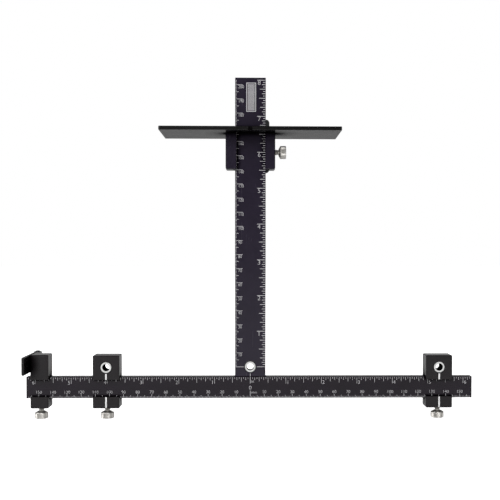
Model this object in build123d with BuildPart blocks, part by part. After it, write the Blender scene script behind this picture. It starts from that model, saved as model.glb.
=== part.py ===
"""Cabinet hardware drilling jig: an inverted T of two graduated rules.

X runs along the horizontal rule, Y runs away from the reader, Z runs up the vertical rule.
The origin is where the centre drill guide's axis meets the scale face (y = 0). Millimetres.
"""
import os

from build123d import *

inch = 25.4
running_gap = 0.05
sliding_gap = 0.1
press_gap = 0.01

# Rules: quarter-inch bar, butted into a T
rule_thick = inch / 4
rule_edge_break = 0.25
cross_length = 12.5 * inch
cross_top = -6.9
cross_bottom = -22.3
upright_width = 21.7
upright_top = 205.0
rule_mid = rule_thick / 2

# Screws and dowels that hold the T together, all along Z in the middle of the bar
joint_screw_x = 7.3
joint_screw_radius = 1.25
joint_screw_length = 20.0
joint_head_radius = 2.25
joint_head_height = 2.5
joint_head_recess = 0.4
joint_hex_radius = 1.15
dowel_x = 3.4
dowel_radius = 1.25
dowel_length = 8.0
dowel_depth_in_cross = 5.0

# Drill guides
drill_radius = 2.5
bushing_radius = 3.9
bushing_break = 0.3
left_guide_x = -101.9
right_guide_x = 134.6

# Blocks that ride on the horizontal rule: half-inch stock with a C-shaped channel
block_front = -3.1
block_depth = inch / 2
block_back = block_front + block_depth
block_bottom = -29.0
block_edge_break = 0.6
guide_width = 18.8
guide_top = 8.5
window_top = -8.8
window_bottom = -20.9

# End stop and its swinging plate
stop_x = -148.8
stop_width = inch / 2
stop_top = 8.9
stop_left = stop_x - stop_width / 2
swing_bottom = -4.1
swing_height = inch / 2
swing_thick = 1.9
swing_front = -15.0
swing_corner = 1.0
swing_edge_round = 0.6
knuckle_radius = 2.75
hinge_x = stop_left - 0.25
hinge_y = 19.5
hinge_pin_radius = 1.5
hinge_pin_bore = 0.9
hinge_pin_slot = 0.5
hinge_pin_proud = 0.6
ear_height = 4.1
ear_clearance = 0.8
lug_root = 5.5
washer_thick = 0.3
washer_radius = 2.5
swing_outer = hinge_x - knuckle_radius
swing_shoulder = hinge_y - knuckle_radius - 1.1

# Fence: a slider on the vertical rule with a plate across its top
slider_half_width = 17.5
slider_bottom = 140.2
fence_underside = 166.0
slider_seat_depth = 0.3
slider_top = fence_underside + slider_seat_depth
slider_corner = 1.2
slider_window_left = -10.0
slider_window_right = 10.5
gib_thick = 2.5
gib_bottom = 138.2
gib_top = 175.4
gib_corner = 2.4
gib_left = upright_width / 2 + running_gap
gib_right = gib_left + gib_thick
fence_half_length = 2.5 * inch
fence_front = -15.0
fence_back = 31.5
fence_thick = 2.7
fence_top = fence_underside + fence_thick
fence_corner = 1.0
fence_slot_gap = 0.2
sight_notch = 2.8
sight_notch_depth = 1.4
fence_screw_radius = 1.0
fence_screw_head = 1.85
fence_screw_length = 8.0
fence_screw_spots = [(x, y) for x in (-14.3, 15.75) for y in (-0.2, 6.7)]

# Thumbscrews
thread_radius = 2.0
thumb_gap = 2.5
thumb_shoulder = 1.0
thumb_shoulder_radius = 2.3
thumb_head_radius = 4.65
thumb_head_height = 4.3
thumb_head_break = 0.5
thumb_dish_radius = 2.6
thumb_dish_depth = 0.4
tip_radius = 1.5
tip_height = 1.2
tip_peg_radius = 0.8
tip_peg_length = 1.5
tip_gap = 0.02
dimple_radius = 1.8
dimple_depth = 0.5
fence_thumb_z = 152.65


def upright_plane(y):
    """Sketch plane at depth y: local x is X, local y is Z, and it extrudes towards the reader."""
    return Plane.XZ.offset(-y)


def drill_axis(x):
    """Plane across a drill guide's axis at the block's front face, facing the reader."""
    return Plane(origin=(x, block_front, 0), x_dir=(1, 0, 0), z_dir=(0, -1, 0))


def up_plane(x, y, z):
    return Plane(origin=(x, y, z), x_dir=(1, 0, 0), z_dir=(0, 0, 1))


def down_plane(x, y, z):
    return Plane(origin=(x, y, z), x_dir=(1, 0, 0), z_dir=(0, 0, -1))


def keep(piece, name):
    """Name a finished piece and write it out."""
    piece.part.label = name
    export_step(piece.part, f"parts/{name}.step")


def make_bushing(x, front, back):
    """Hardened drill guide: a plain ring with broken edges."""
    with BuildPart() as bushing:
        with BuildSketch(upright_plane(back)):
            with Locations((x, 0)):
                Circle(bushing_radius)
                Circle(drill_radius, mode=Mode.SUBTRACT)
        extrude(amount=back - front)
        chamfer(bushing.edges().filter_by(GeomType.CIRCLE), length=bushing_break)
    return bushing


def make_rail_block(x, width, top):
    """Block hooked round the horizontal rule, its front open so the scales can be read."""
    with BuildPart() as block:
        with Locations((x, block_front + block_depth / 2, (block_bottom + top) / 2)):
            Box(width, block_depth, top - block_bottom)
        chamfer(block.edges(), length=block_edge_break)
        with BuildSketch(Plane.YZ.offset(x - width / 2)):
            with Locations((rule_mid, (cross_top + cross_bottom) / 2)):
                Rectangle(rule_thick + 2 * sliding_gap, cross_top - cross_bottom + 2 * sliding_gap)
            with Locations((block_front / 2, (window_top + window_bottom) / 2)):
                Rectangle(-block_front + sliding_gap, window_top - window_bottom)
        extrude(amount=width, mode=Mode.SUBTRACT)
        with Locations(down_plane(x, rule_mid, block_bottom)):
            Hole(thread_radius + running_gap, depth=cross_bottom - block_bottom)
    return block


def make_guide_block(x):
    """Rail block with a bore for its drill guide."""
    with BuildPart() as block:
        add(make_rail_block(x, guide_width, guide_top).part)
        with Locations(drill_axis(x)):
            Hole(bushing_radius + press_gap)
    return block


def make_thumbscrew(seat, reach):
    """Thumbscrew on a seat plane that faces outwards, its shank ending reach inside the seat."""
    head = seat.offset(thumb_gap + thumb_shoulder)
    with BuildPart() as screw:
        with BuildSketch(seat.offset(-reach)):
            Circle(thread_radius)
        extrude(amount=reach + thumb_gap)
        with BuildSketch(head):
            Circle(thumb_head_radius)
        extrude(amount=thumb_head_height)
        circles = screw.edges().filter_by(GeomType.CIRCLE)
        chamfer(circles.filter_by(lambda edge: edge.radius > thread_radius + 1), length=thumb_head_break)
        # Conical shoulder that brings the shank out to the head
        with BuildSketch(seat.offset(thumb_gap)):
            Circle(thumb_shoulder_radius)
        with BuildSketch(head):
            Circle(thumb_head_radius - thumb_head_break)
        loft()
        with Locations(head.offset(thumb_head_height)):
            Hole(thumb_dish_radius, depth=thumb_dish_depth)
        with BuildSketch(seat.offset(-reach)):
            Circle(tip_peg_radius + press_gap)
        extrude(amount=tip_peg_length + running_gap, mode=Mode.SUBTRACT)
    return screw


def make_tip(seat, reach):
    """Soft pressure tip pegged into the end of a thumbscrew's shank."""
    with BuildPart() as tip:
        with BuildSketch(seat.offset(-reach - tip_height)):
            Circle(tip_radius)
        extrude(amount=tip_height)
        with BuildSketch(seat.offset(-reach)):
            Circle(tip_peg_radius)
        extrude(amount=tip_peg_length)
    return tip


os.makedirs("parts", exist_ok=True)

# ---- The T of two rules -----------------------------------------------------

with BuildPart() as horizontal_rule:
    with BuildSketch(upright_plane(rule_thick)):
        with Locations((0, (cross_top + cross_bottom) / 2)):
            Rectangle(cross_length, cross_top - cross_bottom)
    extrude(amount=rule_thick)
    chamfer(horizontal_rule.edges(), length=rule_edge_break)
    with Locations(*[down_plane(x, rule_mid, cross_bottom) for x in (-joint_screw_x, joint_screw_x)]):
        CounterBoreHole(
            radius=joint_screw_radius + sliding_gap,
            counter_bore_radius=joint_head_radius + sliding_gap,
            counter_bore_depth=joint_head_recess + joint_head_height,
        )
    with Locations(*[up_plane(x, rule_mid, cross_top) for x in (-dowel_x, dowel_x)]):
        Hole(dowel_radius + press_gap, depth=dowel_depth_in_cross + running_gap)
keep(horizontal_rule, "horizontal_rule")

with BuildPart() as vertical_rule:
    with BuildSketch(upright_plane(rule_thick)):
        with Locations((0, (cross_top + upright_top) / 2)):
            Rectangle(upright_width, upright_top - cross_top)
    extrude(amount=rule_thick)
    chamfer(vertical_rule.edges(), length=rule_edge_break)
    with Locations(drill_axis(0)):
        Hole(bushing_radius + press_gap)
    screw_end = cross_bottom + joint_head_recess + joint_head_height + joint_screw_length
    with Locations(*[down_plane(x, rule_mid, cross_top) for x in (-joint_screw_x, joint_screw_x)]):
        Hole(joint_screw_radius + press_gap, depth=screw_end - cross_top + 1)
    with Locations(*[down_plane(x, rule_mid, cross_top) for x in (-dowel_x, dowel_x)]):
        Hole(dowel_radius + press_gap, depth=dowel_length - dowel_depth_in_cross + running_gap)
keep(vertical_rule, "vertical_rule")

with BuildPart() as joint_screws:
    head_floor = cross_bottom + joint_head_recess
    for x in (-joint_screw_x, joint_screw_x):
        with BuildSketch(up_plane(x, rule_mid, head_floor)):
            Circle(joint_head_radius)
        extrude(amount=joint_head_height)
        with BuildSketch(up_plane(x, rule_mid, head_floor + joint_head_height)):
            Circle(joint_screw_radius)
        extrude(amount=joint_screw_length)
        with BuildSketch(up_plane(x, rule_mid, head_floor)):
            RegularPolygon(joint_hex_radius, 6)
        extrude(amount=joint_head_height / 2, mode=Mode.SUBTRACT)
keep(joint_screws, "joint_screws")

with BuildPart() as alignment_dowels:
    for x in (-dowel_x, dowel_x):
        with BuildSketch(up_plane(x, rule_mid, cross_top - dowel_depth_in_cross)):
            Circle(dowel_radius)
        extrude(amount=dowel_length)
    chamfer(alignment_dowels.edges().filter_by(GeomType.CIRCLE), length=rule_edge_break)
keep(alignment_dowels, "alignment_dowels")

keep(make_bushing(0, 0, rule_thick), "center_drill_guide")

# ---- Sliding guide blocks with their drill guides ---------------------------

for side, x in (("left", left_guide_x), ("right", right_guide_x)):
    keep(make_guide_block(x), f"{side}_guide_block")
    keep(make_bushing(x, block_front, block_back), f"{side}_drill_guide")

# ---- End stop, its hinge and the swinging plate -----------------------------

ear_gap_floor = swing_bottom + ear_height
ear_gap_roof = stop_top - ear_height

with BuildPart() as stop_block:
    add(make_rail_block(stop_x, stop_width, stop_top).part)
    # Lug behind the block, rounded about the hinge axis
    with BuildSketch(Plane.XY.offset(swing_bottom)):
        with Locations((hinge_x, hinge_y)):
            Circle(knuckle_radius)
        with BuildLine():
            Polyline(
                (stop_left, block_back - 1),
                (stop_left, hinge_y),
                (hinge_x + knuckle_radius, hinge_y),
                (stop_left + lug_root, block_back),
                (stop_left + lug_root, block_back - 1),
                close=True,
            )
        make_face()
    extrude(amount=stop_top - swing_bottom)
    # Slot between the two ears
    slot_floor = hinge_y - knuckle_radius - ear_clearance
    with BuildSketch(Plane.XY.offset(ear_gap_floor)):
        with Locations((hinge_x, slot_floor)):
            Rectangle(4 * knuckle_radius, 4 * knuckle_radius, align=(Align.CENTER, Align.MIN))
    extrude(amount=ear_gap_roof - ear_gap_floor, mode=Mode.SUBTRACT)
    with Locations(up_plane(hinge_x, hinge_y, stop_top)):
        Hole(hinge_pin_radius + press_gap)
keep(stop_block, "stop_block")

with BuildPart() as hinge_pin:
    with BuildSketch(Plane.XY.offset(swing_bottom)):
        with Locations((hinge_x, hinge_y)):
            Circle(hinge_pin_radius)
            Circle(hinge_pin_bore, mode=Mode.SUBTRACT)
            Rectangle(
                2 * hinge_pin_radius, hinge_pin_slot, align=(Align.MIN, Align.CENTER), mode=Mode.SUBTRACT
            )
    extrude(amount=stop_top + hinge_pin_proud - swing_bottom)
keep(hinge_pin, "hinge_pin")

with BuildPart() as friction_washer:
    with BuildSketch(Plane.XY.offset(ear_gap_roof - press_gap - washer_thick)):
        with Locations((hinge_x, hinge_y)):
            Circle(washer_radius)
            Circle(hinge_pin_radius + running_gap, mode=Mode.SUBTRACT)
    extrude(amount=washer_thick)
keep(friction_washer, "friction_washer")

with BuildPart() as swing_stop:
    with BuildSketch(Plane.XY.offset(swing_bottom)):
        with Locations((swing_outer, swing_front)):
            Rectangle(swing_thick, swing_shoulder - swing_front, align=(Align.MIN, Align.MIN))
    extrude(amount=swing_height)
    fillet(swing_stop.edges().filter_by(Axis.X).group_by(Axis.Y)[0], radius=swing_corner)
    fillet(swing_stop.edges().filter_by(Axis.Z).group_by(Axis.Y)[0], radius=swing_edge_round)
    # Knuckle that turns on the pin between the ears
    knuckle_floor = ear_gap_floor + running_gap
    knuckle_roof = ear_gap_roof - washer_thick - 2 * press_gap - running_gap
    with BuildSketch(Plane.XY.offset(knuckle_floor)):
        with Locations((hinge_x, hinge_y)):
            Circle(knuckle_radius)
        with Locations((swing_outer, swing_shoulder)):
            Rectangle(swing_thick, hinge_y - swing_shoulder, align=(Align.MIN, Align.MIN))
        with Locations((hinge_x, hinge_y)):
            Circle(hinge_pin_radius + running_gap, mode=Mode.SUBTRACT)
    extrude(amount=knuckle_roof - knuckle_floor)
keep(swing_stop, "swing_stop")

# ---- Fence: slider, gib, plate and its screws -------------------------------

channel_left = -upright_width / 2 - sliding_gap
channel_right = gib_right + running_gap

with BuildPart() as fence_slider:
    with BuildSketch(upright_plane(block_back)):
        with Locations((0, (slider_bottom + slider_top) / 2)):
            Rectangle(2 * slider_half_width, slider_top - slider_bottom)
    extrude(amount=block_depth)
    fillet(fence_slider.edges().filter_by(Axis.Y).group_by(Axis.Z)[0], radius=slider_corner)
    chamfer(fence_slider.faces().filter_by(Axis.Y).edges(), length=block_edge_break)
    # Channel for the rule and the gib, open at the front between two lips
    with BuildSketch(Plane.XY.offset(slider_bottom)):
        with Locations((channel_left, -sliding_gap)):
            Rectangle(
                channel_right - channel_left, rule_thick + 2 * sliding_gap, align=(Align.MIN, Align.MIN)
            )
        with Locations((slider_window_left, 0)):
            Rectangle(
                slider_window_right - slider_window_left, -block_front, align=(Align.MIN, Align.MAX)
            )
    extrude(amount=slider_top - slider_bottom, mode=Mode.SUBTRACT)
    with Locations(*[up_plane(x, y, slider_top) for x, y in fence_screw_spots]):
        Hole(fence_screw_radius + press_gap, depth=fence_screw_length)
    fence_seat = Plane(
        origin=(slider_half_width, rule_mid, fence_thumb_z), x_dir=(0, 1, 0), z_dir=(1, 0, 0)
    )
    with Locations(fence_seat):
        Hole(thread_radius + running_gap, depth=slider_half_width - channel_right)
keep(fence_slider, "fence_slider")

with BuildPart() as fence_gib:
    with BuildSketch(upright_plane(rule_thick)):
        with Locations((gib_left, gib_bottom)):
            Rectangle(gib_thick, gib_top - gib_bottom, align=(Align.MIN, Align.MIN))
    extrude(amount=rule_thick)
    fillet(fence_gib.edges().filter_by(Axis.Y).group_by(Axis.X)[-1], radius=gib_corner)
    with Locations(fence_seat.offset(gib_right - slider_half_width)):
        Hole(dimple_radius, depth=dimple_depth)
keep(fence_gib, "fence_gib")

with BuildPart() as fence_plate:
    with BuildSketch(Plane.XY.offset(fence_underside)):
        with Locations((0, (fence_front + fence_back) / 2)):
            RectangleRounded(2 * fence_half_length, fence_back - fence_front, fence_corner)
        with Locations((channel_left - fence_slot_gap, -fence_slot_gap)):
            Rectangle(
                channel_right - channel_left + 2 * fence_slot_gap,
                rule_thick + 2 * fence_slot_gap,
                align=(Align.MIN, Align.MIN),
                mode=Mode.SUBTRACT,
            )
        with Locations((0, fence_front)):
            Rectangle(sight_notch, 2 * sight_notch_depth, mode=Mode.SUBTRACT)
    extrude(amount=fence_thick)
    long_edges = fence_plate.edges().filter_by(Axis.X)
    chamfer(long_edges.group_by(Axis.Y)[0] + long_edges.group_by(Axis.Y)[-1], length=rule_edge_break)
    # Shallow seat that keeps the plate square on the slider
    with BuildSketch(Plane.XY.offset(fence_underside)):
        with Locations((0, block_front + block_depth / 2)):
            Rectangle(2 * (slider_half_width + running_gap), block_depth + 2 * running_gap)
    extrude(amount=slider_seat_depth, mode=Mode.SUBTRACT)
    with Locations(*[up_plane(x, y, fence_top) for x, y in fence_screw_spots]):
        CounterSinkHole(fence_screw_radius + sliding_gap, fence_screw_head + sliding_gap)
keep(fence_plate, "fence_plate")

with BuildPart() as fence_screws:
    cone_height = fence_screw_head - fence_screw_radius
    for x, y in fence_screw_spots:
        with BuildSketch(up_plane(x, y, fence_top - fence_screw_length)):
            Circle(fence_screw_radius)
        extrude(amount=fence_screw_length)
        with Locations(up_plane(x, y, fence_top)):
            Cone(
                fence_screw_radius, fence_screw_head, cone_height,
                align=(Align.CENTER, Align.CENTER, Align.MAX),
            )
        with BuildSketch(up_plane(x, y, fence_top)):
            RegularPolygon(fence_screw_radius * 0.75, 6)
        extrude(amount=-cone_height, mode=Mode.SUBTRACT)
keep(fence_screws, "fence_screws")

# ---- Thumbscrews and their tips ---------------------------------------------

rail_reach = cross_bottom - block_bottom - tip_gap - tip_height
fence_reach = slider_half_width - gib_right + dimple_depth - tip_gap - tip_height
seats = {
    "left": (down_plane(left_guide_x, rule_mid, block_bottom), rail_reach),
    "right": (down_plane(right_guide_x, rule_mid, block_bottom), rail_reach),
    "stop": (down_plane(stop_x, rule_mid, block_bottom), rail_reach),
    "fence": (fence_seat, fence_reach),
}
for place, (seat, reach) in seats.items():
    keep(make_thumbscrew(seat, reach), f"{place}_thumbscrew")
    keep(make_tip(seat, reach), f"{place}_screw_tip")
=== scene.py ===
"""Looks of the cabinet hardware drilling jig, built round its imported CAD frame.

Metres throughout: X runs along the horizontal rule, Y away from the reader, Z up the vertical rule.
"""
import math

import bmesh
import bpy
from mathutils import Matrix, Vector


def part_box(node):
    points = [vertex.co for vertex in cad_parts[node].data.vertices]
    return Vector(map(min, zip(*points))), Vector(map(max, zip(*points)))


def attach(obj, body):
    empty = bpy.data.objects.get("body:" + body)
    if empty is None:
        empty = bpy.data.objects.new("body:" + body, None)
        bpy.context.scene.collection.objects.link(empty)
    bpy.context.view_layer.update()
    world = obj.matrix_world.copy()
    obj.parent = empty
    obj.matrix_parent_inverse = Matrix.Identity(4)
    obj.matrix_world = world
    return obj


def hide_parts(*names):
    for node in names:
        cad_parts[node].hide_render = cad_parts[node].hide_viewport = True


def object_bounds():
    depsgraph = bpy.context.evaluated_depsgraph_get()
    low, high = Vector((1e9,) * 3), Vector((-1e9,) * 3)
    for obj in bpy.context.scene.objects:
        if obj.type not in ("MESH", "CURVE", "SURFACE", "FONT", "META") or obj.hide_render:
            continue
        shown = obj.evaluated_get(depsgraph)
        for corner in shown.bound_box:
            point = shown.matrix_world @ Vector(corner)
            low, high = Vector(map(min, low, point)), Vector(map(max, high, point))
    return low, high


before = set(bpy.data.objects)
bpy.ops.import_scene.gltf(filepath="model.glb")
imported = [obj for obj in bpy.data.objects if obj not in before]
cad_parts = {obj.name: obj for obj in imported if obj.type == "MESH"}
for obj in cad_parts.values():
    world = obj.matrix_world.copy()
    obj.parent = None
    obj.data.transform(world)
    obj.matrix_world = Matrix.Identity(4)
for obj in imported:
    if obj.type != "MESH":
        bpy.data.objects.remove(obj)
cad_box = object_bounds()

MM = 0.001
INCH = 25.4 * MM
WHITE = (1.0, 1.0, 1.0, 1.0)
BLACK = (0.0, 0.0, 0.0, 1.0)
NOISE_ROUGHNESS = 0.55

# Etched marks stand proud of their face by less than the sliding gap of the blocks
MARK_PROUD = 0.03 * MM
MARK_SUNK = 0.01 * MM
EDGE_MARGIN = 0.3 * MM
TOP_MARGIN = 0.6 * MM

# ---- Camera -----------------------------------------------------------------

EYE = Vector((2.06, -590.2, 81.71)) * MM
TILT, ROLL, PAN = 88.64, -0.08, -1.21
LENS = 59.8
SENSOR = 36.0
SHIFT_X = -0.0416
SHIFT_Y = 0.0437
NEAR, FAR = 0.01, 50


def make_camera():
    data = bpy.data.cameras.new("camera")
    data.sensor_width = SENSOR
    data.lens = LENS
    data.shift_x = SHIFT_X
    data.shift_y = SHIFT_Y
    data.clip_start = NEAR
    data.clip_end = FAR
    camera = bpy.data.objects.new("camera", data)
    camera.location = EYE
    camera.rotation_euler = [math.radians(angle) for angle in (TILT, ROLL, PAN)]
    bpy.context.scene.collection.objects.link(camera)
    bpy.context.scene.camera = camera


# ---- Node helpers -----------------------------------------------------------


class Paint:
    """A material under construction, with short calls for the nodes it uses."""

    def __init__(self, name):
        self.material = bpy.data.materials.new(name)
        self.material.use_nodes = True
        self.tree = self.material.node_tree
        self.shader = self.tree.nodes["Principled BSDF"]
        self.place = self.node("ShaderNodeTexCoord").outputs["Object"]

    def node(self, kind, **settings):
        made = self.tree.nodes.new(kind)
        for key, value in settings.items():
            setattr(made, key, value)
        return made

    def link(self, source, target):
        self.tree.links.new(source, target)

    def set(self, **sockets):
        """Plain values on the shader's own sockets, with _ for a space in the name."""
        for key, value in sockets.items():
            self.shader.inputs[key.replace("_", " ")].default_value = value

    def stretched(self, scale):
        mapping = self.node("ShaderNodeMapping")
        mapping.inputs["Scale"].default_value = scale
        self.link(self.place, mapping.inputs["Vector"])
        return mapping.outputs["Vector"]

    def noise(self, scale, detail=3, vector=None):
        made = self.node("ShaderNodeTexNoise")
        made.inputs["Scale"].default_value = scale
        made.inputs["Detail"].default_value = detail
        made.inputs["Roughness"].default_value = NOISE_ROUGHNESS
        self.link(vector or self.place, made.inputs["Vector"])
        return made.outputs["Fac"]

    def ramp(self, value, low, high):
        """Black to white between two values."""
        made = self.node("ShaderNodeValToRGB")
        made.color_ramp.elements[0].position = low
        made.color_ramp.elements[1].position = high
        made.color_ramp.elements[0].color = BLACK
        made.color_ramp.elements[1].color = WHITE
        self.link(value, made.inputs["Fac"])
        return made.outputs["Color"]

    def math(self, operation, first, second=0.0):
        made = self.node("ShaderNodeMath", operation=operation)
        for socket, value in zip(made.inputs, (first, second)):
            if isinstance(value, (int, float)):
                socket.default_value = value
            else:
                self.link(value, socket)
        return made.outputs[0]

    def between(self, value, low, high):
        """value from 0 to 1 spread over low to high."""
        made = self.node("ShaderNodeMapRange")
        made.inputs["To Min"].default_value = low
        made.inputs["To Max"].default_value = high
        self.link(value, made.inputs["Value"])
        return made.outputs["Result"]

    def mix(self, factor, first, second):
        made = self.node("ShaderNodeMix", data_type="RGBA")
        self.link(factor, made.inputs["Factor"])
        for socket, value in (("A", first), ("B", second)):
            target = next(i for i in made.inputs if i.name == socket and i.type == "RGBA")
            if isinstance(value, tuple):
                target.default_value = value
            else:
                self.link(value, target)
        return next(o for o in made.outputs if o.type == "RGBA")

    def colour(self, source):
        self.link(source, self.shader.inputs["Base Color"])

    def roughness(self, source):
        self.link(source, self.shader.inputs["Roughness"])

    def bump(self, height, distance, strength=1.0, under=None):
        made = self.node("ShaderNodeBump")
        made.inputs["Distance"].default_value = distance
        made.inputs["Strength"].default_value = strength
        self.link(height, made.inputs["Height"])
        if under is not None:
            self.link(under, made.inputs["Normal"])
        return made.outputs["Normal"]

    def normal(self, source):
        self.link(source, self.shader.inputs["Normal"])


# ---- Materials --------------------------------------------------------------

EDGE_WEAR = 0.35
EDGE_RADIUS = 0.12 * MM
WORN_METAL = (0.16, 0.155, 0.16, 1)
# Painted shade: the near black colour the anodised faces take in their corners
CORNER_SHADE = (0.002, 0.0018, 0.002, 1)
SHEEN = 0.5
# How sharply the sheen fades in the painted corner shade
CORNER_SHADE_POWER = 2.5
BORE_RADIUS = 2.62 * MM
RING_PITCH = 0.09 * MM


def anodised(name, dark, light, grain_along, shade_reach, rough=(0.2, 0.32)):
    """Black anodised aluminium: satin, faintly grained, a little worn on its edges.

    The reach argument sets how far painted shade spreads from a corner, in millimetres: the colour
    darkens and the sheen fades there.
    """
    paint = Paint(name)
    clouds = paint.noise(38, detail=4)
    fine = paint.noise(2600, detail=2)
    across = [900.0, 900.0, 900.0]
    across["XYZ".index(grain_along)] = 14.0
    grain = paint.noise(1.0, detail=3, vector=paint.stretched(across))
    tone = paint.mix(paint.ramp(clouds, 0.35, 0.7), dark, light)
    speckled = paint.mix(paint.ramp(fine, 0.55, 0.8), tone, light)
    # Bare metal starts to show where a rounded edge turns away from the face
    rounded = paint.node("ShaderNodeBevel", samples=4)
    rounded.inputs["Radius"].default_value = EDGE_RADIUS
    facing = paint.node("ShaderNodeVectorMath", operation="DOT_PRODUCT")
    paint.link(rounded.outputs["Normal"], facing.inputs[0])
    paint.link(paint.node("ShaderNodeNewGeometry").outputs["Normal"], facing.inputs[1])
    edge = paint.between(facing.outputs["Value"], 1.0, 0.0)
    scuffs = paint.ramp(paint.noise(160, detail=5), 0.5, 0.72)
    rubbed = paint.math("MULTIPLY", paint.math("MULTIPLY", edge, scuffs), EDGE_WEAR)
    worn = paint.mix(rubbed, speckled, WORN_METAL)
    # Painted shade: an ambient occlusion mask darkens the colour and takes the sheen off in corners and
    # next to other parts
    corners = paint.node("ShaderNodeAmbientOcclusion", samples=8)
    corners.inputs["Distance"].default_value = shade_reach * MM
    unshaded = paint.ramp(corners.outputs["AO"], 0.6, 1.0)
    paint.colour(paint.mix(unshaded, CORNER_SHADE, worn))
    sheen_with_corner_shade = paint.math("MULTIPLY", paint.math("POWER", unshaded, CORNER_SHADE_POWER), SHEEN)
    paint.link(sheen_with_corner_shade, paint.shader.inputs["Specular IOR Level"])
    unevenness = paint.math("MULTIPLY", paint.math("ADD", clouds, grain), 0.5)
    paint.roughness(paint.between(unevenness, *rough))
    blasted = paint.bump(fine, 0.006 * MM, 0.25, rounded.outputs["Normal"])
    paint.normal(paint.bump(grain, 0.004 * MM, 0.4, blasted))
    return paint.material


def etched(name, dull, bright):
    """Laser-etched marks: the dye burnt out to a chalky tone, a little uneven."""
    paint = Paint(name)
    hatch = paint.noise(1.0, detail=1, vector=paint.stretched((900, 900, 6000)))
    patches = paint.noise(450, detail=3)
    uneven = paint.math("MULTIPLY", paint.math("ADD", hatch, patches), 0.5)
    paint.colour(paint.mix(uneven, dull, bright))
    paint.roughness(paint.between(patches, 0.5, 0.75))
    paint.normal(paint.bump(hatch, 0.004 * MM))
    return paint.material


def turned_metal(name, centre, tint, rough):
    """Metal turned on a lathe: fine rings about an axis along Y through centre."""
    paint = Paint(name)
    offset = paint.node("ShaderNodeVectorMath", operation="SUBTRACT")
    offset.inputs[1].default_value = centre
    paint.link(paint.place, offset.inputs[0])
    flat = paint.node("ShaderNodeVectorMath", operation="MULTIPLY")
    flat.inputs[1].default_value = (1, 0, 1)
    paint.link(offset.outputs[0], flat.inputs[0])
    radius = paint.node("ShaderNodeVectorMath", operation="LENGTH")
    paint.link(flat.outputs[0], radius.inputs[0])
    rings = paint.math("SINE", paint.math("MULTIPLY", radius.outputs["Value"], math.tau / RING_PITCH))
    smears = paint.noise(320, detail=4)
    bright = paint.mix(smears, tuple(0.86 * c for c in tint[:3]) + (1,), tint)
    # Painted shade: inside the bore the colour is near black, rough and without metal or sheen, for the
    # shadow in the hole
    outside = paint.math("GREATER_THAN", radius.outputs["Value"], BORE_RADIUS)
    scale = paint.mix(smears, (0.003, 0.003, 0.0035, 1), (0.009, 0.008, 0.008, 1))
    paint.colour(paint.mix(outside, scale, bright))
    paint.link(paint.math("MULTIPLY", outside, 0.3), paint.shader.inputs["Metallic"])
    paint.link(paint.math("MULTIPLY", outside, 0.5), paint.shader.inputs["Specular IOR Level"])
    ground = paint.between(paint.noise(1100, detail=3), *rough)
    paint.roughness(paint.math("MAXIMUM", ground, paint.math("SUBTRACT", 0.9, outside)))
    paint.normal(paint.bump(paint.between(rings, 0, 1), 0.0012 * MM, 0.6))
    return paint.material


def nickel():
    """Bright nickel plate with dulled patches."""
    paint = Paint("nickel")
    patches = paint.noise(260, detail=5)
    paint.colour(paint.mix(patches, (0.5, 0.48, 0.445, 1), (0.78, 0.76, 0.73, 1)))
    paint.roughness(paint.between(paint.noise(900, detail=3), 0.22, 0.38))
    paint.normal(paint.bump(paint.noise(3000, detail=2), 0.002 * MM, 0.5))
    paint.set(Metallic=0.88)
    return paint.material


def dark_steel(name, tint, rough):
    """Blued or blackened steel with a slightly mottled skin."""
    paint = Paint(name)
    mottle = paint.noise(700, detail=4)
    paint.colour(paint.mix(mottle, tint, tuple(1.7 * c for c in tint[:3]) + (1,)))
    paint.roughness(paint.between(paint.noise(1500, detail=2), *rough))
    paint.normal(paint.bump(mottle, 0.003 * MM, 0.5))
    paint.set(Metallic=0.75)
    return paint.material


def ground_steel():
    """Bright ground dowel steel, its fine scratches running round the pin."""
    paint = Paint("ground_steel")
    scratches = paint.noise(1.0, detail=2, vector=paint.stretched((300, 300, 9000)))
    paint.colour(paint.mix(scratches, (0.5, 0.5, 0.51, 1), (0.66, 0.66, 0.67, 1)))
    paint.roughness(paint.between(scratches, 0.2, 0.38))
    paint.normal(paint.bump(scratches, 0.002 * MM))
    paint.set(Metallic=1.0)
    return paint.material


def nylon():
    """Natural white nylon, slightly translucent."""
    paint = Paint("nylon")
    clouds = paint.noise(500, detail=3)
    paint.colour(paint.mix(clouds, (0.72, 0.71, 0.66, 1), (0.84, 0.83, 0.79, 1)))
    paint.roughness(paint.between(clouds, 0.4, 0.55))
    paint.normal(paint.bump(paint.noise(2200, detail=2), 0.004 * MM, 0.5))
    paint.set(Subsurface_Weight=0.25, Subsurface_Scale=0.5 * MM)
    return paint.material


def black_acetal():
    """Moulded black acetal, a touch softer than the anodised parts round it."""
    paint = Paint("black_acetal")
    clouds = paint.noise(240, detail=3)
    paint.colour(paint.mix(clouds, (0.006, 0.006, 0.007, 1), (0.013, 0.013, 0.014, 1)))
    paint.roughness(paint.between(clouds, 0.3, 0.45))
    paint.normal(paint.bump(paint.noise(1800, detail=2), 0.004 * MM, 0.5))
    return paint.material


def floor_white():
    """Plain pale studio floor, lit like the object but always plain white in view."""
    paint = Paint("floor_white")
    clouds = paint.noise(3, detail=2)
    paint.colour(paint.mix(clouds, (0.78, 0.78, 0.78, 1), (0.82, 0.82, 0.82, 1)))
    paint.set(Roughness=0.9, Specular_IOR_Level=0.1, Emission_Color=WHITE)
    seen = paint.node("ShaderNodeLightPath").outputs["Is Camera Ray"]
    paint.link(seen, paint.shader.inputs["Emission Strength"])
    return paint.material


# ---- Mesh helpers -----------------------------------------------------------

FIGURE_THINNING = -0.015


def finish_piece(name, bm, material, body):
    """Turns the bmesh into an object that rides on a CAD body."""
    bmesh.ops.recalc_face_normals(bm, faces=bm.faces)
    mesh = bpy.data.meshes.new(name)
    bm.to_mesh(mesh)
    bm.free()
    mesh.materials.append(material)
    piece = bpy.data.objects.new(name, mesh)
    bpy.context.scene.collection.objects.link(piece)
    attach(piece, body)
    return piece


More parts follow.
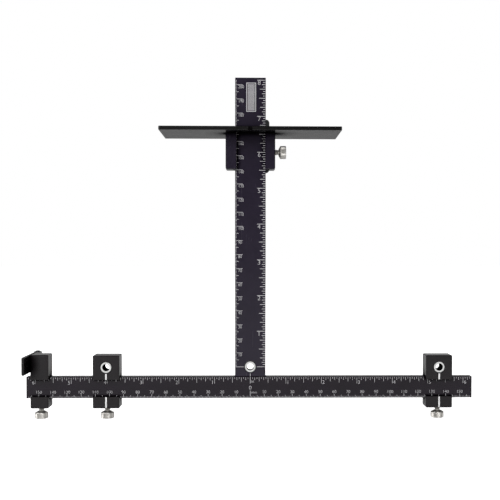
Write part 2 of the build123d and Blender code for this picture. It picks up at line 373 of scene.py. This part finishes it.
def add_bar(bm, left, right, bottom, top, face):
    """A thin closed bar on a face that looks towards the reader."""
    depths = (face - MARK_PROUD, face + MARK_SUNK)
    corners = [
        bm.verts.new((x, y, z)) for y in depths for x, z in
        ((left, bottom), (right, bottom), (right, top), (left, top))
    ]
    front, back = corners[:4], corners[4:]
    bm.faces.new(front)
    bm.faces.new(reversed(back))
    for i in range(4):
        j = (i + 1) % 4
        bm.faces.new((front[j], front[i], back[i], back[j]))


def text_mesh(text, align):
    """Figures one unit tall per unit of font size, flat in their own XY plane."""
    curve = bpy.data.curves.new("figures", "FONT")
    curve.body = text
    curve.align_x = align
    curve.resolution_u = 3
    curve.extrude = 0.5
    curve.offset = FIGURE_THINNING
    holder = bpy.data.objects.new("figures", curve)
    mesh = bpy.data.meshes.new_from_object(holder)
    bpy.data.objects.remove(holder)
    bpy.data.curves.remove(curve)
    return mesh


def figure_height():
    """Height of the font's figures for a size of 1."""
    mesh = text_mesh("0", "LEFT")
    heights = [v.co.y for v in mesh.vertices]
    bpy.data.meshes.remove(mesh)
    return max(heights) - min(heights)


FIGURE_HEIGHT = figure_height()


def add_text(bm, text, x, baseline, height, face, align="LEFT", narrow=1.0):
    """Upright figures on a face that looks towards the reader."""
    mesh = text_mesh(text, align)
    size = height / FIGURE_HEIGHT
    thick = MARK_PROUD + MARK_SUNK
    upright = Matrix.Rotation(math.radians(90), 4, "X")
    place = Matrix.Translation((x, face + (MARK_SUNK - MARK_PROUD) / 2, baseline))
    mesh.transform(place @ upright @ Matrix.Diagonal((narrow * size, size, thick, 1)))
    bm.from_mesh(mesh)
    bpy.data.meshes.remove(mesh)


# ---- Scales -----------------------------------------------------------------

THIN_LINE = 0.22 * MM
BOLD_LINE = 0.32 * MM
ZERO_LINE = 0.3 * MM
INDEX_LINE = 1.1 * MM
UPRIGHT_FIGURE_WIDTH = 0.8
# Width of the painted shadow ring round each drill guide's face
GAP_SHADOW_WIDTH = 0.5 * MM
RING_SIDES = 96

# Length of a tick, by the largest count that its number divides by
CROSS_INCH_TICKS = ((16, 5.0), (8, 4.4), (4, 3.5), (2, 2.6), (1, 1.7))
CROSS_MM_TICKS = ((10, 3.0), (5, 2.1), (1, 1.3))
UPRIGHT_INCH_TICKS = ((16, 6.1), (8, 4.7), (4, 4.0), (2, 2.7), (1, 1.9))
UPRIGHT_MM_TICKS = ((10, 5.4), (5, 2.6), (1, 1.1))


def tick_length(number, table):
    return next(length for step, length in table if number % step == 0) * MM


def cross_scales(white):
    """Inch scale on the horizontal rule's top edge and millimetres on its bottom edge, both from zero."""
    low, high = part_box("horizontal_rule")
    face = low.y
    top, bottom = high.z, low.z
    end_gap = 0.8 * MM
    reach = high.x - end_gap
    bm = bmesh.new()
    for step, table, edge, inward, margin in (
        (INCH / 16, CROSS_INCH_TICKS, top, -1, TOP_MARGIN),
        (MM, CROSS_MM_TICKS, bottom, 1, EDGE_MARGIN),
    ):
        for number in range(1, int(reach / step) + 1):
            near = edge + inward * margin
            far = edge + inward * tick_length(number, table)
            for x in (-number * step, number * step):
                add_bar(bm, x - THIN_LINE / 2, x + THIN_LINE / 2, min(near, far), max(near, far), face)
    inch_base, inch_height, inch_gap = top - 5.4 * MM, 2.5 * MM, 0.55 * MM
    for inches in range(1, 7):
        x = inches * INCH
        add_text(bm, str(inches), x + inch_gap, inch_base, inch_height, face)
        add_text(bm, str(inches), -x - inch_gap, inch_base, inch_height, face, "RIGHT")
    mm_base, mm_height = bottom + 3.4 * MM, 2.05 * MM
    for millimetres in range(10, 151, 10):
        for x in (-millimetres * MM, millimetres * MM):
            add_text(bm, str(millimetres), x, mm_base, mm_height, face, "CENTER")
    # Zero line, broken by its figure, with the two units beside it
    half = ZERO_LINE / 2
    zero_base, zero_height = top - 9.4 * MM, 2.75 * MM
    above_zero, below_zero = top - 5.0 * MM, bottom + 5.3 * MM
    foot = bottom + 0.6 * MM
    add_bar(bm, -half, half, above_zero, top - EDGE_MARGIN, face)
    add_text(bm, "0", 0, zero_base, zero_height, face, "CENTER")
    add_bar(bm, -half, half, foot, below_zero, face)
    unit_gap = 0.55 * MM
    for unit, base, height in (("in", top - 4.5 * MM, 2.1 * MM), ("mm", bottom + 3.2 * MM, 1.9 * MM)):
        add_text(bm, unit, unit_gap, base, height, face)
    finish_piece("horizontal_rule_scales", bm, white, "rules")


def upright_scales(white):
    """Millimetres up the vertical rule's left edge and inches up its right edge, from the drill guide."""
    low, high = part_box("vertical_rule")
    guide_low, guide_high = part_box("center_drill_guide")
    face = low.y
    end_gap = 1.0 * MM
    reach = high.z - end_gap
    bm = bmesh.new()
    for step, table, edge, inward, line in (
        (MM, UPRIGHT_MM_TICKS, low.x, 1, THIN_LINE),
        (INCH / 16, UPRIGHT_INCH_TICKS, high.x, -1, BOLD_LINE),
    ):
        for number in range(1, int(reach / step) + 1):
            near = edge + inward * EDGE_MARGIN
            far = edge + inward * tick_length(number, table)
            z = number * step
            add_bar(bm, min(near, far), max(near, far), z - line / 2, z + line / 2, face)
    label_gap = 0.3 * MM
    mm_left, mm_height = low.x + 2.2 * MM, 2.25 * MM
    for millimetres in range(10, 201, 10):
        base = millimetres * MM - label_gap - mm_height
        add_text(bm, str(millimetres), mm_left, base, mm_height, face, narrow=UPRIGHT_FIGURE_WIDTH)
    inch_left, inch_height = high.x - 5.75 * MM, 3.0 * MM
    for inches in range(1, 9):
        add_text(bm, str(inches), inch_left, inches * INCH - label_gap - inch_height, inch_height, face)
    # Zero line across the rule on both sides of the drill guide, and down from it to the joint
    half = ZERO_LINE / 2
    edge_gap = 0.8 * MM
    add_bar(bm, low.x + EDGE_MARGIN, guide_low.x - edge_gap, -half, half, face)
    add_bar(bm, guide_high.x + edge_gap, high.x - EDGE_MARGIN, -half, half, face)
    add_bar(bm, -half, half, low.z + EDGE_MARGIN, guide_low.z - edge_gap, face)
    finish_piece("vertical_rule_scales", bm, white, "rules")


def index_lines(side, white):
    """White pointer line on a guide block, above and below its window."""
    low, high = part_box(f"{side}_guide_block")
    guide_low, guide_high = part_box(f"{side}_drill_guide")
    rule_low, rule_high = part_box("horizontal_rule")
    middle = (guide_low.x + guide_high.x) / 2
    left, right = middle - INDEX_LINE / 2, middle + INDEX_LINE / 2
    bm = bmesh.new()
    upper_end, upper_gap = rule_high.z - 1.8 * MM, 0.6 * MM
    add_bar(bm, left, right, upper_end, guide_low.z - upper_gap, low.y)
    lower_end, lower_gap = rule_low.z + 1.3 * MM, 0.5 * MM
    add_bar(bm, left, right, low.z + lower_gap, lower_end, low.y)
    finish_piece(f"{side}_index_line", bm, white, f"{side}_guide")


def blank_nameplate(white):
    """An empty etched field near the top of the vertical rule: a border round close hatching."""
    low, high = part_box("vertical_rule")
    left, right = -2.9 * MM, 3.9 * MM
    bottom, top = high.z - 24.0 * MM, high.z - 3.6 * MM
    border, clear, hatch, pitch = 0.45 * MM, 0.5 * MM, 0.3 * MM, 0.62 * MM
    bm = bmesh.new()
    add_bar(bm, left, right, bottom, bottom + border, low.y)
    add_bar(bm, left, right, top - border, top, low.y)
    add_bar(bm, left, left + border, bottom + border, top - border, low.y)
    add_bar(bm, right - border, right, bottom + border, top - border, low.y)
    inset = border + clear
    for number in range(int((top - bottom - 2 * inset) / pitch) + 1):
        z = bottom + inset + number * pitch
        add_bar(bm, left + inset, right - inset, z, z + hatch, low.y)
    finish_piece("nameplate", bm, white, "rules")


def seat_ring(place, body, dark):
    """Painted shadow: a thin black ring round a drill guide's face, for the shade in the gap of its press
    fit.
    """
    low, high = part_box(f"{place}_drill_guide")
    centre = (low + high) / 2
    overlap = 0.1 * MM
    inner = (high.x - low.x) / 2 - overlap
    outer = inner + GAP_SHADOW_WIDTH
    angles = [math.tau * i / RING_SIDES for i in range(RING_SIDES)]
    loops = []
    bm = bmesh.new()
    for radius, y in (
        (inner, low.y + MARK_SUNK), (inner, low.y - MARK_PROUD),
        (outer, low.y - MARK_PROUD), (outer, low.y + MARK_SUNK),
    ):
        loops.append([
            bm.verts.new((centre.x + radius * math.cos(a), y, centre.z + radius * math.sin(a)))
            for a in angles
        ])
    for near, far in zip(loops, loops[1:] + loops[:1]):
        for i in range(RING_SIDES):
            j = (i + 1) % RING_SIDES
            bm.faces.new((near[i], near[j], far[j], far[i]))
    finish_piece(f"{place}_gap_shadow", bm, dark, body)


# ---- Thumbscrews ------------------------------------------------------------

GROOVES = 30
COLUMNS = 4 * GROOVES
KNURL_DEPTH = 0.3 * MM
THREAD_PITCH = 0.7 * MM
THREAD_DEPTH = 0.4 * MM
THREAD_CREST = 2.0 * MM
PEG_RADIUS = 0.81 * MM
PEG_DEPTH = 1.55 * MM
HEAD_HEIGHT = 4.3 * MM
HEAD_BREAK = 0.5 * MM
SHOULDER_HEIGHT = 1.0 * MM
SHOULDER_RADIUS = 2.3 * MM
NECK = 0.55 * MM
DISH_RADIUS = 2.6 * MM
DISH_DEPTH = 0.38 * MM
THREAD_PROFILE = (0.0, 0.15, 1.0, 1.0)
KNURL_ROWS = 8
DISH_LIP = 0.25 * MM
SMOOTH_ANGLE = math.radians(25)
WELD_DISTANCE = 1e-7


def ring(bm, radius, z):
    """Vertices of one circle; radius may be a function of the column number."""
    made = []
    for i in range(COLUMNS):
        angle = math.tau * i / COLUMNS
        r = radius(i) if callable(radius) else radius
        made.append(bm.verts.new((r * math.cos(angle), r * math.sin(angle), z)))
    return made


def skin(bm, rings, diagonal=None):
    """Faces between neighbouring rings, split along a diagonal where one is asked for."""
    for j, (lower, upper) in enumerate(zip(rings, rings[1:])):
        for i in range(COLUMNS):
            k = (i + 1) % COLUMNS
            a, b, c, d = lower[i], lower[k], upper[k], upper[i]
            if diagonal is None:
                bm.faces.new((a, b, c, d))
            elif diagonal(i, j):
                bm.faces.new((a, b, c))
                bm.faces.new((a, c, d))
            else:
                bm.faces.new((a, b, d))
                bm.faces.new((b, c, d))


def add_thread(bm, crest, start, end):
    """A thread whose ridge fades out at both ends, on a core that starts and ends in plain circles."""
    base = start - THREAD_PITCH
    steps = len(THREAD_PROFILE)
    turns = math.ceil((end - base) / THREAD_PITCH) + 1

    def vertex(row, column):
        angle = math.tau * column / COLUMNS
        z = base + THREAD_PITCH * (row / steps + column / COLUMNS)
        z = min(max(z, start), end)
        fade = min(1.0, (z - start) / NECK, max(0.0, end - NECK - z) / NECK)
        r = crest - THREAD_DEPTH * (1 - fade * THREAD_PROFILE[row % steps])
        return bm.verts.new((r * math.cos(angle), r * math.sin(angle), z))

    rows = [[vertex(row, i) for i in range(COLUMNS + 1)] for row in range(turns * steps + 1)]
    for lower, upper in zip(rows, rows[1:]):
        for i in range(COLUMNS):
            bm.faces.new((lower[i], lower[i + 1], upper[i + 1], upper[i]))


def zigzag(x):
    """0 at whole numbers and 1 halfway between them."""
    return 1 - abs(2 * (x - math.floor(x)) - 1)


def knurl_radius(outer, row):
    """Radius by column where two crossing sets of helical grooves leave diamond points."""

    def radius(column):
        height = min(zigzag((column + row) / 4), zigzag((column - row) / 4))
        return outer - KNURL_DEPTH * (1 - height)

    return radius


def thumbscrew(place, out, metal):
    """Knurled thumbscrew in the space of its CAD node. out is the unit vector towards the head."""
    node = f"{place}_thumbscrew"
    low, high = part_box(node)
    centre = (low + high) / 2
    size = high - low
    length = abs(size.dot(out))
    outer = min(size) / 2
    head = length - HEAD_HEIGHT
    neck = head - SHOULDER_HEIGHT
    root = THREAD_CREST - THREAD_DEPTH

    bm = bmesh.new()
    socket = [ring(bm, PEG_RADIUS, PEG_DEPTH), ring(bm, PEG_RADIUS, 0), ring(bm, root, 0)]
    skin(bm, socket)
    bm.faces.new(socket[0])
    add_thread(bm, THREAD_CREST, 0, neck)
    first, last = head + HEAD_BREAK, length - HEAD_BREAK
    knurl = [
        ring(bm, knurl_radius(outer, row), first + (last - first) * row / KNURL_ROWS)
        for row in range(KNURL_ROWS + 1)
    ]
    skin(bm, knurl, lambda i, j: (i + j) % 2 == 0)
    under = [
        ring(bm, root, neck), ring(bm, SHOULDER_RADIUS, neck),
        ring(bm, outer - HEAD_BREAK, head), knurl[0],
    ]
    skin(bm, under)
    over = [
        knurl[-1],
        ring(bm, outer - HEAD_BREAK, length),
        ring(bm, DISH_RADIUS, length),
        ring(bm, DISH_RADIUS - DISH_LIP, length - DISH_DEPTH),
        ring(bm, DISH_LIP, length - DISH_DEPTH),
    ]
    skin(bm, over)
    bm.faces.new(over[-1])
    bmesh.ops.remove_doubles(bm, verts=bm.verts, dist=WELD_DISTANCE)
    for face in bm.faces:
        face.smooth = True
    bm.normal_update()
    for edge in bm.edges:
        edge.smooth = edge.calc_face_angle(0) < SMOOTH_ANGLE
    turn = Vector((0, 0, 1)).rotation_difference(out).to_matrix().to_4x4()
    inner_end = centre - out * length / 2
    bm.transform(Matrix.Translation(inner_end) @ turn)
    piece = finish_piece(f"{place}_knurled_screw", bm, metal, f"{place}_screw")
    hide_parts(node)


# ---- Studio -----------------------------------------------------------------

ROOM_LIGHT = 0.05
WALL_LIGHT = 0.38
CEILING_SHARE = 0.25
FLOOR_REACH = 6.0
LIGHT_SIZE = 2.0


def make_floor():
    z = cad_box[0].z
    mesh = bpy.data.meshes.new("floor")
    corners = [(x * FLOOR_REACH, y * FLOOR_REACH, z) for x, y in ((-1, -1), (1, -1), (1, 1), (-1, 1))]
    mesh.from_pydata(corners, [], [(0, 1, 2, 3)])
    mesh.materials.append(floor_white())
    floor = bpy.data.objects.new("floor", mesh)
    bpy.context.scene.collection.objects.link(floor)


def area_light(name, spot, power):
    """A soft round light that points at the middle of the object."""
    data = bpy.data.lights.new(name, "AREA")
    data.shape = "DISK"
    data.size = LIGHT_SIZE
    data.energy = power
    light = bpy.data.objects.new(name, data)
    light.location = spot
    aim = (cad_box[0] + cad_box[1]) / 2 - Vector(spot)
    light.rotation_euler = aim.to_track_quat("-Z", "Y").to_euler()
    bpy.context.scene.collection.objects.link(light)


def make_world():
    """A dim room with a paler wall behind the object, for reflections. In view it is plain white."""
    world = bpy.data.worlds.new("studio")
    world.use_nodes = True
    tree = world.node_tree
    background = tree.nodes["Background"]
    background.inputs["Strength"].default_value = 1.0
    direction = tree.nodes.new("ShaderNodeTexCoord").outputs["Generated"]
    split = tree.nodes.new("ShaderNodeSeparateXYZ")
    tree.links.new(direction, split.inputs[0])

    def ramped(socket, from_low, from_high, to_low, to_high):
        made = tree.nodes.new("ShaderNodeMapRange")
        made.interpolation_type = "SMOOTHSTEP"
        for key, value in (
            ("From Min", from_low), ("From Max", from_high), ("To Min", to_low), ("To Max", to_high)
        ):
            made.inputs[key].default_value = value
        tree.links.new(socket, made.inputs["Value"])
        return made.outputs["Result"]

    wall = ramped(split.outputs["Y"], 0.2, 0.9, ROOM_LIGHT, WALL_LIGHT)
    ceiling = ramped(split.outputs["Z"], 0.25, 0.7, 1.0, CEILING_SHARE)
    room = tree.nodes.new("ShaderNodeMath")
    room.operation = "MULTIPLY"
    tree.links.new(wall, room.inputs[0])
    tree.links.new(ceiling, room.inputs[1])
    seen = tree.nodes.new("ShaderNodeLightPath").outputs["Is Camera Ray"]
    brighter = tree.nodes.new("ShaderNodeMath")
    brighter.operation = "MAXIMUM"
    tree.links.new(room.outputs[0], brighter.inputs[0])
    tree.links.new(seen, brighter.inputs[1])
    tree.links.new(brighter.outputs[0], background.inputs["Color"])
    bpy.context.scene.world = world


def make_lights():
    """Large soft lights above on both sides of the camera, and a weaker one behind."""
    area_light("left_light", (-1.1, -1.2, 1.2), 38)
    area_light("right_light", (1.3, -1.0, 1.1), 11)
    area_light("back_light", (0.4, 1.6, 1.4), 8)


# ---- Everything put together ------------------------------------------------

make_camera()
make_floor()
make_world()
make_lights()

cross_tones = (0.0058, 0.0026, 0.007, 1), (0.01, 0.0052, 0.012, 1)
upright_tones = (0.013, 0.009, 0.0205, 1), (0.0185, 0.0135, 0.028, 1)
block_tones = (0.0062, 0.0042, 0.0056, 1), (0.0098, 0.0072, 0.0088, 1)
plate_tones = (0.0028, 0.0026, 0.0027, 1), (0.0052, 0.0048, 0.005, 1)
# Each reach below sets how far the painted corner shade spreads on that finish, in millimetres
along_x = anodised("anodised_along_x", *cross_tones, grain_along="X", shade_reach=1.5)
along_z = anodised("anodised_along_z", *upright_tones, grain_along="Z", shade_reach=4)
block_z = anodised("anodised_block_z", *block_tones, grain_along="Z", shade_reach=9, rough=(0.16, 0.26))
plate_x = anodised("anodised_plate_x", *plate_tones, grain_along="X", shade_reach=16)
plate_y = anodised("anodised_plate_y", *plate_tones, grain_along="Y", shade_reach=9)
scale_mark = etched("etched_scales", (0.58, 0.57, 0.59, 1), (0.78, 0.77, 0.79, 1))
pointer_mark = etched("etched_pointers", (0.9, 0.9, 0.9, 1), (0.98, 0.98, 0.98, 1))
acetal = black_acetal()
bright_nickel = nickel()
blued = dark_steel("blued_steel", (0.05, 0.05, 0.055, 1), (0.3, 0.45))
blackened = dark_steel("black_oxide_steel", (0.012, 0.012, 0.013, 1), (0.34, 0.5))
white_nylon = nylon()

finishes = {
    "horizontal_rule": along_x,
    "vertical_rule": along_z,
    "left_guide_block": block_z,
    "right_guide_block": block_z,
    "stop_block": block_z,
    "fence_slider": along_z,
    "swing_stop": plate_y,
    "fence_plate": plate_x,
    "fence_gib": acetal,
    "hinge_pin": blued,
    "friction_washer": blued,
    "joint_screws": blackened,
    "fence_screws": blackened,
    "alignment_dowels": ground_steel(),
}
for place in ("left", "right", "stop", "fence"):
    finishes[f"{place}_screw_tip"] = white_nylon
for place in ("left", "center", "right"):
    guide = f"{place}_drill_guide"
    low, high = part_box(guide)
    finishes[guide] = turned_metal(
        f"{place}_guide_steel", (low + high) / 2, (0.97, 0.97, 0.96, 1), (0.42, 0.55)
    )
for node, material in finishes.items():
    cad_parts[node].data.materials[0] = material

cross_scales(scale_mark)
upright_scales(scale_mark)
blank_nameplate(scale_mark)
for side in ("left", "right"):
    index_lines(side, pointer_mark)
# Painted shadow rings round the drill guides, in the black of the gib
for place, body in (("left", "left_guide"), ("center", "rules"), ("right", "right_guide")):
    seat_ring(place, body, acetal)
for place in ("left", "right", "stop"):
    thumbscrew(place, Vector((0, 0, -1)), bright_nickel)
thumbscrew("fence", Vector((1, 0, 0)), bright_nickel)

bpy.context.scene.view_settings.view_transform = "Standard"
